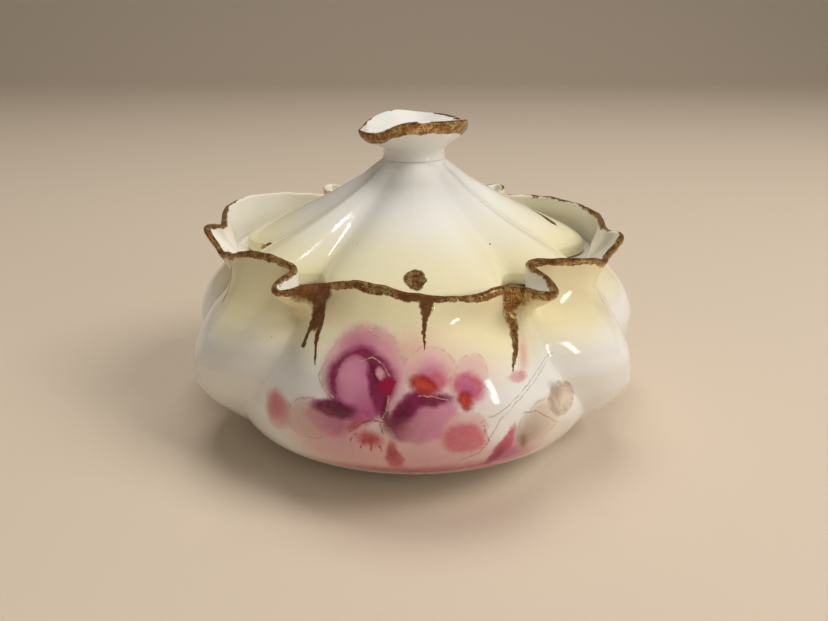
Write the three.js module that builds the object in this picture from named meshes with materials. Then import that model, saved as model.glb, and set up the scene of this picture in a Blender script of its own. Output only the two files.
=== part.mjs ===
// Porcelain sugar bowl: a lobed, ruffled bowl, a scalloped lid that rests on a ledge
// inside the collar, and a ruffled cup-shaped knob luted to the top of the lid.
// Millimetres, +Z up, front of the bowl towards -Y, origin under the centre of the foot.
// Angles are degrees round the bowl: 0 is the front (-Y), +90 the right side (+X).
import * as THREE from 'three';

// ---- driving dimensions -------------------------------------------------------------
const FOOT_OUTER_RADIUS = 38.5;
const FOOT_INNER_RADIUS = 34;
const FOOT_RECESS_HEIGHT = 1.4;
const SHOULDER_Z = 41;         // where the round body starts to turn into the pleated collar
const RIM_THICKNESS = 1.7;
const COLLAR_THICKNESS = 2;
const LIP_DROP = 0.6;          // how far the sides of the rounded lip sit under its crest
const LEDGE_Z = 47.7;          // top of the inner ledge that carries the lid
const LEDGE_RADIUS = 42.8;     // throat of the bowl inside the ledge
const FLOOR_Z = 4.4;           // inside floor of the bowl
const FLOOR_RADIUS = 43;
const FIT_GAP = 0.3;           // clearance between pieces that touch

const LID_SEAT_Z = LEDGE_Z + FIT_GAP;
const FLANGE_OUTER_RADIUS = 41.4;
const FLANGE_INNER_RADIUS = 38.8;
const FLANGE_BOTTOM_Z = 43.6;
const NOTCH_DEPTH = 9.5;       // how far the lid edge steps in between two scallops
const NOTCH_HALF_WIDTH = 9.5;  // degrees
const FLANGE_NOTCH_DEPTH = 3;  // the locating flange steps in less
const VALLEY_SINK = 2.4;       // how far the lid surface dips along each valley
const VALLEY_NECK_HALF_WIDTH = 24; // degrees
const VALLEY_EDGE_HALF_WIDTH = 11; // degrees
const KNOB_SEAT_Z = 75.5;      // seam between lid and knob
const NECK_RADIUS = 8.7;

// Six pleats of the collar. turn = +1 puts the sharp corner on the larger-angle side.
const PLEATS = [
  { angle: -149, turn: 1, tip: 60, sharp: 48, soft: 50, tipZ: 57.2, sharpZ: 56.5, softZ: 56.5 },
  { angle: -77, turn: -1, tip: 59, sharp: 55, soft: 55.5, tipZ: 59, sharpZ: 58.3, softZ: 53.6 },
  { angle: -32, turn: -1, tip: 61, sharp: 49, soft: 51, tipZ: 54, sharpZ: 55.6, softZ: 53.8 },
  { angle: 32, turn: 1, tip: 62, sharp: 47, soft: 52, tipZ: 54, sharpZ: 56.2, softZ: 53.6 },
  { angle: 69, turn: 1, tip: 59.5, sharp: 55, soft: 57, tipZ: 58.6, sharpZ: 58.8, softZ: 54.8 },
  { angle: 149, turn: -1, tip: 60, sharp: 48, soft: 50, tipZ: 57.2, sharpZ: 56.5, softZ: 56.5 },
];
// Rim of the panel that follows each pleat: [radius, height] at 1/4, 1/2 and 3/4 of its width.
const PANELS = [
  [[56, 58], [58.5, 59.2], [57.5, 59.2]],
  [[54, 54.4], [51.5, 56.8], [49.8, 57]],
  [[50.8, 55.2], [52, 53.2], [52.5, 52.2]],
  [[51, 56.8], [56, 56.4], [58.5, 55]],
  [[54.5, 58.8], [54, 58.2], [53.5, 57.4]],
  [[51, 58], [52.5, 60], [51, 58]],
];
// One pleat seen from above: sideways distance towards its sharp side, which root it
// leaves from, and how far out it is (0 = at the root, 1 = at the tip).
const PLEAT_OUTLINE = [
  [-6.8, 'soft', 0],
  [-4.5, 'soft', 0.38],
  [-4, 'soft', 0.76],
  [-1.7, 'soft', 1.02],
  [1.7, 'sharp', 0.9],
  [3.8, 'sharp', 0.55],
  [4.9, 'sharp', 0],
];
const PLEAT_HALF_ANGLE = 5;    // share of the body each pleat gathers, either side
const STEPS_PER_SPAN = 2;      // columns between two rim points
const PANEL_FLARE = 1.7;       // 1 leans out evenly, more bends out nearer the rim
const PLEAT_BULGE_START = 0.08; // shares of the collar's height between which a pleat
const PLEAT_BULGE_END = 0.95;   // bulges out

// Body outline: [height, radius over a lobe, depth of the valley between lobes].
const BODY = [
  [0, 38.5, 0],
  [1.2, 42.4, 0.2],
  [3.5, 48.7, 0.8],
  [7, 55.6, 2.4],
  [11, 61.1, 4.4],
  [16, 65.3, 6.3],
  [22, 67.6, 7.4],
  [28, 67.8, 7.6],
  [34, 65.8, 7.2],
  [39, 62.4, 6.4],
  [42, 59.8, 6.6],
  [45, 58.1, 7.6],
  [49, 56.9, 8.8],
  [53, 56.2, 9],
  [60, 56, 9],
];
const BODY_ROWS = [1.2, 3.5, 7, 11, 16, 22, 28, 34, 38.5];
// Valleys between the six lobes: [angle at the collar, how far it has swung at the foot].
const VALLEYS = [[-149, 0], [-77, -8], [-33, -24], [33, 24], [72, 12], [149, 0]];
const VALLEY_HALF_WIDTH = 13;
const COLLAR_STEPS = [0, 0.2, 0.4, 0.58, 0.76, 0.9];
// Soft thumb-sized hollow under the front rim.
const DIMPLE = { angle: 17, z: 46.5, halfAngle: 9, halfHeight: 3.6, depth: 3 };
// Inside of the bowl below the ledge: [height, inset from the outer wall].
const INSIDE = [[38, 3], [31, 2.8], [23, 2.8], [14, 3.6], [8, 5.4]];

// Lid profile over a scallop from the knob seam to the edge: [share of the edge radius, height].
const LID_TOP = [
  [0.193, 74.4],
  [0.25, 72.3],
  [0.31, 69.9],
  [0.45, 65.6],
  [0.57, 62.2],
  [0.72, 58.3],
  [0.86, 54.8],
  [0.95, 52.4],
  [0.99, 50.9],
  [1, 49.6],
];
const LID_EDGE_RADIUS = 49.6;
const LID_EDGE_OVAL = 1.3;     // the lid is a little wider from side to side
const NOTCH_ANGLES = [-150, -79, -37, 37, 74, 150];
const LID_HOLLOW = [[37.6, 49], [31, 54.8], [22, 60.6], [14, 66], [7, 70.2]];
const LID_SEGMENTS = 96;

// Knob profile: [radius, height, share of the ruffle]. It starts and ends on the axis.
const KNOB = [
  [8.7, 75.5, 0],
  [8.6, 76.6, 0],
  [8.8, 78, 0.1],
  [11, 80, 0.45],
  [13.8, 82, 0.85],
  [15.3, 83.9, 1],
  [15.5, 84.8, 1],
  [14.7, 85.3, 1],
  [11.6, 83.8, 0.7],
  [7, 82.2, 0.2],
];
const KNOB_CUP_Z = 81.6;
const KNOB_SEGMENTS = 48;

const WHITE_PORCELAIN = new THREE.MeshStandardMaterial({ color: 0xf4f1e6, roughness: 0.15, metalness: 0 });
const CREAM_PORCELAIN = new THREE.MeshStandardMaterial({ color: 0xf3ecc9, roughness: 0.15, metalness: 0 });
const GILT_PORCELAIN = new THREE.MeshStandardMaterial({ color: 0xe9e3d2, roughness: 0.18, metalness: 0 });

// ---- helpers ------------------------------------------------------------------------
const radians = (degrees) => (degrees * Math.PI) / 180;
const lerp = (a, b, t) => a + (b - a) * t;
const onCircle = (angle, radius, z) =>
  new THREE.Vector3(radius * Math.sin(radians(angle)), -radius * Math.cos(radians(angle)), z);
const turnBetween = (a, b) => Math.abs(((((a - b + 180) % 360) + 360) % 360) - 180);

// Straight-line lookup of one column of a table whose first column is the height.
function lookup(table, z, column) {
  const last = table.length - 1;
  if (z >= table[last][0]) return table[last][column];
  const above = table.findIndex((row) => row[0] > z);
  const low = table[above - 1];
  const high = table[above];
  return lerp(low[column], high[column], (z - low[0]) / (high[0] - low[0]));
}

// Closed body from a stack of rings, capped by a point at each end.
function loft(firstPoint, rings, lastPoint) {
  const count = rings[0].length;
  const positions = [];
  const index = [];
  positions.push(...firstPoint.toArray());
  rings.forEach((ring) => ring.forEach((point) => positions.push(...point.toArray())));
  positions.push(...lastPoint.toArray());
  const at = (ring, column) => 1 + ring * count + (column % count);
  const end = 1 + rings.length * count;
  for (let column = 0; column < count; column += 1) {
    index.push(0, at(0, column + 1), at(0, column));
    for (let ring = 0; ring + 1 < rings.length; ring += 1) {
      const a = at(ring, column);
      const b = at(ring, column + 1);
      const c = at(ring + 1, column + 1);
      const d = at(ring + 1, column);
      index.push(a, b, c, a, c, d);
    }
    index.push(at(rings.length - 1, column), at(rings.length - 1, column + 1), end);
  }
  const geometry = new THREE.BufferGeometry();
  geometry.setAttribute('position', new THREE.Float32BufferAttribute(positions, 3));
  geometry.setIndex(index);
  geometry.computeVertexNormals();
  return geometry;
}

function piece(name, geometry, material) {
  const mesh = new THREE.Mesh(geometry, material);
  mesh.name = name;
  return mesh;
}

// Moves every point of a ring sideways into the bowl, square to the ring. The direction
// is taken over two columns either side, so the inside of a tight pleat stays smooth.
function insetRing(ring, thickness) {
  const count = ring.length;
  return ring.map((point, i) => {
    const before = ring[(i + count - 2) % count];
    const after = ring[(i + 2) % count];
    const inward = new THREE.Vector3(before.y - after.y, after.x - before.x, 0).normalize();
    return point.clone().addScaledVector(inward, thickness);
  });
}

// ---- bowl ---------------------------------------------------------------------------
// Rim points in order round the bowl; `body` is the angle of the wall that feeds each one.
function rimControls() {
  const controls = [];
  PLEATS.forEach((pleat, i) => {
    const outward = onCircle(pleat.angle, 1, 0);
    const sideways = new THREE.Vector3(-outward.y, outward.x, 0);
    const outline = pleat.turn > 0 ? PLEAT_OUTLINE : [...PLEAT_OUTLINE].reverse();
    outline.forEach(([side, root, out], k) => {
      const radius = lerp(pleat[root], pleat.tip, out);
      const point = outward.clone().multiplyScalar(radius).addScaledVector(sideways, side * pleat.turn);
      point.z = lerp(pleat[`${root}Z`], pleat.tipZ, Math.min(1, out * 1.1));
      const share = (2 * k) / (outline.length - 1) - 1;
      controls.push({ body: pleat.angle + PLEAT_HALF_ANGLE * share, point });
    });
    const next = i + 1 < PLEATS.length ? PLEATS[i + 1].angle : PLEATS[0].angle + 360;
    PANELS[i].forEach(([radius, z], k) => {
      const body = lerp(pleat.angle + PLEAT_HALF_ANGLE, next - PLEAT_HALF_ANGLE, (k + 1) / 4);
      controls.push({ body, point: onCircle(body, radius, z) });
    });
  });
  return controls;
}

// Smooth closed curve through the rim points, with the body angle carried along.
function rimColumns() {
  const controls = rimControls();
  const count = controls.length;
  const curve = new THREE.CatmullRomCurve3(controls.map((c) => c.point), true, 'catmullrom', 0.5);
  const columns = [];
  for (let i = 0; i < count; i += 1) {
    const here = controls[i].body;
    const next = i + 1 < count ? controls[i + 1].body : controls[0].body + 360;
    for (let step = 0; step < STEPS_PER_SPAN; step += 1) {
      const share = step / STEPS_PER_SPAN;
      columns.push({ body: lerp(here, next, share), rim: curve.getPoint((i + share) / count) });
    }
  }
  return columns;
}

function valleyDepth(body) {
  const depths = VALLEYS.map(([centre]) => {
    return Math.exp(-((turnBetween(body, centre) / VALLEY_HALF_WIDTH) ** 1.4));
  });
  return Math.max(...depths);
}

function bodyRadius(body, z) {
  return lookup(BODY, z, 1) - lookup(BODY, z, 2) * valleyDepth(body);
}

// Where a column of the wall stands at a given height: the columns follow the valleys,
// which swing sideways towards the foot.
function wallAngle(body, z) {
  const low = THREE.MathUtils.smoothstep(40 - z, 0, 40);
  const stops = VALLEYS.map(([centre, swing]) => [centre, centre + swing * low]);
  stops.push([stops[0][0] + 360, stops[0][1] + 360]);
  stops.unshift([stops[5][0] - 360, stops[5][1] - 360]);
  const right = stops.findIndex((stop) => stop[0] > body);
  const [left0, left1] = stops[right - 1];
  const [right0, right1] = stops[right];
  return lerp(left1, right1, (body - left0) / (right0 - left0));
}

function wallPoint(column, z, inset) {
  return onCircle(wallAngle(column.body, z), bodyRadius(column.body, z) - inset, z);
}

function dimple(body, z) {
  const across = (body - DIMPLE.angle) / DIMPLE.halfAngle;
  const up = (z - DIMPLE.z) / DIMPLE.halfHeight;
  return DIMPLE.depth * Math.exp(-across * across - up * up);
}

// Share of its flare that a column of the collar has reached: a panel bends out more and
// more, while a pleat bulges out early and then stands upright below the rim.
function flare(body, rise) {
  const away = Math.min(...PLEATS.map((pleat) => turnBetween(body, pleat.angle)));
  const pleat = Math.max(0, 1 - (away / (2 * PLEAT_HALF_ANGLE)) ** 2);
  const bulge = THREE.MathUtils.smoothstep(rise, PLEAT_BULGE_START, PLEAT_BULGE_END);
  return lerp(rise ** PANEL_FLARE, bulge, pleat);
}

// Outer face of the collar: round at the shoulder, fully pleated at the rim.
function collarPoint(column, rise) {
  const z = lerp(SHOULDER_Z, column.rim.z, rise);
  const radius = bodyRadius(column.body, z) - dimple(column.body, z);
  const point = onCircle(column.body, radius, z).lerp(column.rim, flare(column.body, rise));
  point.z = z;
  return point;
}

function collarPointAt(column, z) {
  return collarPoint(column, (z - SHOULDER_Z) / (column.rim.z - SHOULDER_Z));
}

function bowlGeometry() {
  const columns = rimColumns();
  const circle = (radius, z) => columns.map((c) => onCircle(wallAngle(c.body, z), radius, z));
  const rings = [
    circle(FOOT_INNER_RADIUS - 1, FOOT_RECESS_HEIGHT),
    circle(FOOT_INNER_RADIUS, 0),
    circle(FOOT_OUTER_RADIUS, 0),
  ];
  BODY_ROWS.forEach((z) => rings.push(columns.map((c) => wallPoint(c, z, 0))));
  COLLAR_STEPS.forEach((rise) => rings.push(columns.map((c) => collarPoint(c, rise))));

  const crest = columns.map((c) => collarPoint(c, 1));
  const lipOutside = columns.map((c) => collarPointAt(c, c.rim.z - LIP_DROP));
  rings.push(lipOutside, insetRing(crest, RIM_THICKNESS / 2), insetRing(lipOutside, RIM_THICKNESS));
  [0.3, 0.65, 1].forEach((fall) => {
    const wall = columns.map((c) => collarPointAt(c, lerp(c.rim.z - LIP_DROP, LEDGE_Z, fall)));
    rings.push(insetRing(wall, lerp(RIM_THICKNESS, COLLAR_THICKNESS, fall)));
  });

  rings.push(circle(LEDGE_RADIUS + 0.5, LEDGE_Z));
  rings.push(circle(LEDGE_RADIUS, LEDGE_Z - 0.6));
  rings.push(circle(LEDGE_RADIUS, LEDGE_Z - 2.2));
  rings.push(circle(LEDGE_RADIUS + 4, LEDGE_Z - 4.6));
  INSIDE.forEach(([z, inset]) => rings.push(columns.map((c) => wallPoint(c, z, inset))));
  rings.push(circle(FLOOR_RADIUS, FLOOR_Z));
  return loft(new THREE.Vector3(0, 0, FOOT_RECESS_HEIGHT), rings, new THREE.Vector3(0, 0, FLOOR_Z));
}

// ---- lid ----------------------------------------------------------------------------
function notchShare(angle) {
  const shares = NOTCH_ANGLES.map((centre) => {
    return Math.exp(-((turnBetween(angle, centre) / NOTCH_HALF_WIDTH) ** 1.7));
  });
  return Math.max(...shares);
}

function valleyShare(angle, share) {
  const halfWidth = lerp(VALLEY_NECK_HALF_WIDTH, VALLEY_EDGE_HALF_WIDTH, share);
  const away = Math.min(...NOTCH_ANGLES.map((centre) => turnBetween(angle, centre)));
  return Math.exp(-((away / halfWidth) ** 2));
}

function lidPoint(angle, share, z) {
  const notch = notchShare(angle);
  const edge = LID_EDGE_RADIUS - LID_EDGE_OVAL * Math.cos(2 * radians(angle));
  const radius = edge * share - NOTCH_DEPTH * notch * share ** 3;
  return onCircle(angle, radius, z - VALLEY_SINK * valleyShare(angle, share) * Math.sin(Math.PI * share));
}

function lidGeometry() {
  const angles = Array.from({ length: LID_SEGMENTS }, (_, i) => (i * 360) / LID_SEGMENTS);
  const circle = (radius, z) => angles.map((angle) => onCircle(angle, radius, z));
  const notched = (radius, z) => angles.map((angle) => {
    return onCircle(angle, radius - FLANGE_NOTCH_DEPTH * notchShare(angle), z);
  });
  const rings = LID_HOLLOW.slice(1).map(([radius, z]) => circle(radius, z)).reverse();
  rings.push(notched(...LID_HOLLOW[0]));
  rings.push(notched(FLANGE_INNER_RADIUS, FLANGE_BOTTOM_Z));
  rings.push(notched(FLANGE_OUTER_RADIUS, FLANGE_BOTTOM_Z));
  rings.push(notched(FLANGE_OUTER_RADIUS, LID_SEAT_Z));
  rings.push(angles.map((angle) => {
    const edge = lidPoint(angle, 1, LID_SEAT_Z);
    return edge.lerp(new THREE.Vector3(0, 0, LID_SEAT_Z), 0.015);
  }));
  [...LID_TOP].reverse().forEach(([share, z]) => {
    rings.push(angles.map((angle) => lidPoint(angle, share, z)));
  });
  rings.push(circle(NECK_RADIUS, KNOB_SEAT_Z - FIT_GAP));
  const hollowTop = new THREE.Vector3(0, 0, LID_HOLLOW[LID_HOLLOW.length - 1][1] + 0.4);
  return loft(hollowTop, rings, new THREE.Vector3(0, 0, KNOB_SEAT_Z - FIT_GAP));
}

// ---- knob ---------------------------------------------------------------------------
// Rim wave of the knob: high at the front right and the back left, with small ripples.
function ruffleHeight(angle) {
  const a = radians(angle);
  return 1.2 * Math.cos(2 * a) + 0.8 * Math.sin(2 * a) + 0.9 * Math.sin(a) + 0.45 * Math.cos(5 * a + 0.6);
}

function knobGeometry() {
  const angles = Array.from({ length: KNOB_SEGMENTS }, (_, i) => (i * 360) / KNOB_SEGMENTS);
  const rings = KNOB.map(([radius, z, ruffle]) => angles.map((angle) => {
    const flare = 1 + 0.035 * ruffle * Math.cos(6 * radians(angle) + 0.5);
    return onCircle(angle, radius * flare, z + ruffle * ruffleHeight(angle));
  }));
  return loft(new THREE.Vector3(0, 0, KNOB_SEAT_Z), rings, new THREE.Vector3(0, 0, KNOB_CUP_Z));
}

const part = new THREE.Group();
part.name = 'sugar_bowl';
part.add(piece('bowl', bowlGeometry(), WHITE_PORCELAIN));
part.add(piece('lid', lidGeometry(), CREAM_PORCELAIN));
part.add(piece('knob', knobGeometry(), GILT_PORCELAIN));
export default part;
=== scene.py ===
"""Hand-painted porcelain sugar bowl: fine meshes and procedural glaze, gilding and flowers.

The shapes follow the CAD solids they stand for. Shape sizes are in millimetres and angles in
degrees round the bowl: 0 is the front (-Y), +90 the right side (+X). Meshes are in metres.
"""
import math

import bpy
import numpy as np
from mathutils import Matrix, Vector


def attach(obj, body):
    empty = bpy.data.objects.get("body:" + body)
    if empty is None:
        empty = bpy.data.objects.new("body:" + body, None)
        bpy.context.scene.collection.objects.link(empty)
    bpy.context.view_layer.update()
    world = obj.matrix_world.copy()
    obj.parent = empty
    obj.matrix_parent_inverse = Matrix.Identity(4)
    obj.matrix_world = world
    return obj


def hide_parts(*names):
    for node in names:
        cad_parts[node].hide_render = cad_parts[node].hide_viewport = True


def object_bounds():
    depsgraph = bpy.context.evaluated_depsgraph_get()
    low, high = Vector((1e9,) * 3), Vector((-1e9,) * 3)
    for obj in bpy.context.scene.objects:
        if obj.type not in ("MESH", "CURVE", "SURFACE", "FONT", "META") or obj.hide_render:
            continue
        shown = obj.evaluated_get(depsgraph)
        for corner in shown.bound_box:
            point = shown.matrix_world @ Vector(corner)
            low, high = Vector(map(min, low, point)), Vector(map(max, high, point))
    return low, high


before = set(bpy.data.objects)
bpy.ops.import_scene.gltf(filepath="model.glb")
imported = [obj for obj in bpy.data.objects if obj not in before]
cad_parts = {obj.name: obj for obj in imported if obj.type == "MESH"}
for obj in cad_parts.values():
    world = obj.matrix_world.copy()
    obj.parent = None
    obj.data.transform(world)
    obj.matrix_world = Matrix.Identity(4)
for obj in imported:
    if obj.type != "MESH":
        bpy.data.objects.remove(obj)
cad_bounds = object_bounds()

MM = 0.001

# ---- bowl dimensions (mm) -------------------------------------------------------------
FOOT_OUTER_RADIUS = 38.5
FOOT_INNER_RADIUS = 34
FOOT_RECESS = 1.4
SHOULDER_Z = 41
RIM_THICKNESS = 1.7
COLLAR_THICKNESS = 2.0
LEDGE_Z = 47.7
LEDGE_RADIUS = 42.8
FLOOR_Z = 4.4
FLOOR_RADIUS = 43

# Six pleats of the collar. turn = +1 puts the sharp corner on the larger-angle side.
PLEATS = [
    dict(angle=-149, turn=1, tip=60, sharp=48, soft=50, tip_z=57.2, sharp_z=56.5, soft_z=56.5),
    dict(angle=-77, turn=-1, tip=59, sharp=55, soft=55.5, tip_z=59, sharp_z=58.3, soft_z=53.6),
    dict(angle=-32, turn=-1, tip=61, sharp=49, soft=51, tip_z=54, sharp_z=55.6, soft_z=53.8),
    dict(angle=32, turn=1, tip=62, sharp=47, soft=52, tip_z=54, sharp_z=56.2, soft_z=53.6),
    dict(angle=69, turn=1, tip=59.5, sharp=55, soft=57, tip_z=58.6, sharp_z=58.8, soft_z=54.8),
    dict(angle=149, turn=-1, tip=60, sharp=48, soft=50, tip_z=57.2, sharp_z=56.5, soft_z=56.5),
]
# Rim of the panel after each pleat: (radius, height) at 1/4, 1/2 and 3/4 of its width.
PANELS = [
    [(56, 58), (58.5, 59.2), (57.5, 59.2)],
    [(54, 54.4), (51.5, 56.8), (49.8, 57)],
    [(50.8, 55.2), (52, 53.2), (52.5, 52.2)],
    [(51, 56.8), (56, 56.4), (58.5, 55)],
    [(54.5, 58.8), (54, 58.2), (53.5, 57.4)],
    [(51, 58), (52.5, 60), (51, 58)],
]
# One pleat from above: distance towards its sharp side, the root it leaves, share of reach.
PLEAT_OUTLINE = [
    (-6.8, "soft", 0),
    (-4.5, "soft", 0.38),
    (-4, "soft", 0.76),
    (-1.7, "soft", 1.02),
    (1.7, "sharp", 0.9),
    (3.8, "sharp", 0.55),
    (4.9, "sharp", 0),
]
PLEAT_HALF_ANGLE = 5
PANEL_FLARE = 1.7
PLEAT_BULGE_START = 0.08
PLEAT_BULGE_END = 0.95

# Body outline: height, radius over a lobe, depth of the valley between lobes.
BODY = np.array([
    (0, 38.5, 0),
    (1.2, 42.4, 0.2),
    (3.5, 48.7, 0.8),
    (7, 55.6, 2.4),
    (11, 61.1, 4.4),
    (16, 65.3, 6.3),
    (22, 67.6, 7.4),
    (28, 67.8, 7.6),
    (34, 65.8, 7.2),
    (39, 62.4, 6.4),
    (42, 59.8, 6.6),
    (45, 58.1, 7.6),
    (49, 56.9, 8.8),
    (53, 56.2, 9),
    (60, 56, 9),
])
# Inside of the bowl below the ledge: height and inset from the outer wall.
INSIDE = np.array([(8, 5.4), (14, 3.6), (23, 2.8), (31, 2.8), (38, 3)])
# Valleys between the lobes: angle at the collar, and how far it has swung at the foot.
VALLEYS = [(-149, 0), (-77, -8), (-33, -24), (33, 24), (72, 12), (149, 0)]
VALLEY_HALF_WIDTH = 13
DIMPLE = dict(angle=17, z=46.5, half_angle=9, half_height=3.6, depth=3)
SWING_END_Z = 40         # the valleys stop swinging at this height
# Foot ring from its hollow to its outer edge: (radius, height).
FOOT_PROFILE = [
    (FOOT_INNER_RADIUS - 6, FOOT_RECESS),
    (FOOT_INNER_RADIUS - 1.2, FOOT_RECESS),
    (FOOT_INNER_RADIUS - 0.6, 1.1),
    (FOOT_INNER_RADIUS - 0.2, 0.35),
    (FOOT_INNER_RADIUS + 0.3, 0),
    (FOOT_OUTER_RADIUS - 1.5, 0),
    (FOOT_OUTER_RADIUS - 0.3, 0.03),
]
# Edge of the ledge and the throat under it: distance outside the throat, height over the ledge.
THROAT_PROFILE = [(0.6, 0), (0.25, -0.12), (0.03, -0.5), (0, -1.2), (0, -2.1), (0.8, -3), (4, -4.6)]
# Inside floor from the wall to the middle: (radius, height).
FLOOR_PROFILE = [(46.8, 5.9), (FLOOR_RADIUS, FLOOR_Z), (36, FLOOR_Z - 0.05), (16, FLOOR_Z - 0.05)]
# Marks for the parts of the bowl that the gold keeps off, on the scale of `from_rim` (mm).
FOOT_MARK = 80
LEDGE_MARK = -12
THROAT_MARK = -16
CAVITY_MARK = -30
FLOOR_MARK = -40

# ---- lid and knob dimensions (mm) -----------------------------------------------------
LID_SEAT_Z = 48
FLANGE_OUTER_RADIUS = 41.4
FLANGE_INNER_RADIUS = 38.8
FLANGE_BOTTOM_Z = 43.6
NOTCH_DEPTH = 9.5
NOTCH_HALF_WIDTH = 9.5
FLANGE_NOTCH_DEPTH = 3
FLANGE_BLEND_RADIUS = 31  # the underside starts to follow the flange's notches here
FLANGE_BLEND_WIDTH = 6
# Flange from the lid's hollow round its foot to the seat: (radius, height).
FLANGE_PROFILE = [
    (37.9, 47.6),
    (38.5, 45),
    (FLANGE_INNER_RADIUS + 0.1, 44.1),
    (39.5, FLANGE_BOTTOM_Z),
    (40.6, FLANGE_BOTTOM_Z),
    (41.2, 44),
    (FLANGE_OUTER_RADIUS, 44.7),
    (FLANGE_OUTER_RADIUS, 47.5),
]
# Rounded lower edge of the lid: distance inside the edge, height.
LID_EDGE_PROFILE = [(0.5, 48.02), (0.22, 48.12), (0.06, 48.4), (0, 48.9)]
VALLEY_SINK = 2.4
VALLEY_NECK_HALF_WIDTH = 24
VALLEY_EDGE_HALF_WIDTH = 11
NOTCH_ANGLES = [-150, -79, -37, 37, 74, 150]
LID_EDGE_RADIUS = 49.6
LID_EDGE_OVAL = 1.3
LID_NECK_Z = 75.2        # flat top of the neck, under the knob
# Lid from the neck to the edge: share of the edge radius, height.
LID_TOP = np.array([
    (0.1755, LID_NECK_Z),
    (0.193, 74.4),
    (0.25, 72.3),
    (0.31, 69.9),
    (0.45, 65.6),
    (0.57, 62.2),
    (0.72, 58.3),
    (0.86, 54.8),
    (0.95, 52.4),
    (0.99, 50.9),
    (1, 49.6),
])
# Underside of the lid from its flange to its middle: (radius, height).
LID_HOLLOW = np.array([(37.6, 49), (31, 54.8), (22, 60.6), (14, 66), (7, 70.2), (0.2, 70.6)])
KNOB_FOOT_Z = 75.25
# Knob from its foot over the rim to the middle of the cup: radius, height, share of the ruffle.
KNOB = np.array([
    (8.8, KNOB_FOOT_Z, 0),
    (8.6, 76.6, 0),
    (8.8, 78, 0.1),
    (11, 80, 0.45),
    (13.8, 82, 0.85),
    (15.3, 83.9, 1),
    (15.5, 84.8, 1),
    (14.7, 85.3, 1),
    (11.6, 83.8, 0.7),
    (7, 82.2, 0.2),
    (0.2, 81.6, 0),
])

# ---- curves and tables ----------------------------------------------------------------


def lerp(a, b, t):
    return a + (b - a) * t


def smoothstep(t):
    t = np.clip(t, 0, 1)
    return t * t * (3 - 2 * t)


def slopes(x, y):
    """Slopes that keep a curve through (x, y) smooth and free of overshoot."""
    step = np.diff(y) / np.diff(x)
    product = step[1:] * step[:-1]
    inner = np.where(product > 0, 2 * step[1:] * step[:-1] / (step[1:] + step[:-1] + 1e-12), 0)
    return np.concatenate([step[:1], inner, step[-1:]])


def smooth_lookup(x, y, at):
    """Value at `at` of the smooth curve through the points (x, y), x rising."""
    at = np.clip(at, x[0], x[-1])
    m = slopes(x, y)
    k = np.clip(np.searchsorted(x, at, side="right") - 1, 0, len(x) - 2)
    h = x[k + 1] - x[k]
    t = (at - x[k]) / h
    a = (1 + 2 * t) * (1 - t) ** 2 * y[k] + t * (1 - t) ** 2 * h * m[k]
    return a + t * t * (3 - 2 * t) * y[k + 1] + t * t * (t - 1) * h * m[k + 1]


def through(points, count):
    """`count` points along a smooth curve through the rows of `points`."""
    points = np.array(points, float)
    x = np.arange(len(points), dtype=float)
    at = np.linspace(0, len(points) - 1, count)
    return np.stack([smooth_lookup(x, column, at) for column in points.T], 1)


def closed_curve(points, steps):
    """Closed Catmull-Rom curve through the rows of `points`, `steps` samples a span."""
    count = len(points)
    rows = []
    for i in range(count):
        p0, p1, p2, p3 = (points[(i + k) % count] for k in (-1, 0, 1, 2))
        for t in np.arange(steps) / steps:
            bend = 2 * p0 - 5 * p1 + 4 * p2 - p3
            twist = -p0 + 3 * p1 - 3 * p2 + p3
            rows.append(0.5 * (2 * p1 + (p2 - p0) * t + bend * t * t + twist * t ** 3))
    return np.array(rows)


def on_circle(angle, radius, z):
    a = np.radians(angle)
    return np.stack(np.broadcast_arrays(radius * np.sin(a), -radius * np.cos(a), z), -1)


def turn_between(a, b):
    return np.abs((a - b + 180) % 360 - 180)


# ---- mesh building --------------------------------------------------------------------


def loft(name, rings, attributes):
    """Closed mesh from a stack of rings (mm), with one value a point for each attribute.

    A ring's points run round the axis, and the first and last rings are closed by a fan.
    """
    rings = np.array(rings)
    rows, count = rings.shape[:2]
    start, end = rings[0].mean(0), rings[-1].mean(0)
    points = np.concatenate([rings.reshape(-1, 3), [start, end]]) * MM
    points = np.clip(points, *cad_bounds)
    i = np.arange(rows - 1)[:, None] * count
    j = np.arange(count)[None, :]
    k = (j + 1) % count
    quads = np.stack([i + j, i + k, i + count + k, i + count + j], -1).reshape(-1, 4)
    j, k = j[0], k[0]
    first = rows * count
    top = (rows - 1) * count
    fans = [(first, b, a) for a, b in zip(j.tolist(), k.tolist())]
    fans += [(first + 1, top + a, top + b) for a, b in zip(j.tolist(), k.tolist())]
    mesh = bpy.data.meshes.new(name)
    mesh.from_pydata(points.tolist(), [], quads.tolist() + fans)
    for key, values in attributes.items():
        values = np.array(values, float)
        ends = [values[0].mean(), values[-1].mean()]
        layer = mesh.attributes.new(key, "FLOAT", "POINT")
        layer.data.foreach_set("value", np.concatenate([values.ravel(), ends]))
    mesh.shade_smooth()
    mesh.validate()
    obj = bpy.data.objects.new(name, mesh)
    bpy.context.scene.collection.objects.link(obj)
    return obj


def inset_ring(ring, thickness, reach):
    """The ring moved sideways into the bowl, square to the curve `reach` columns wide."""
    across = np.roll(ring, -reach, 0) - np.roll(ring, reach, 0)
    inward = np.stack([-across[:, 1], across[:, 0], np.zeros(len(ring))], -1)
    inward /= np.linalg.norm(inward, axis=1)[:, None]
    return ring + inward * np.asarray(thickness).reshape(-1, 1)


# ---- bowl -----------------------------------------------------------------------------
STEPS_PER_SPAN = 9
MEAN_RIM_Z = 54


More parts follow.
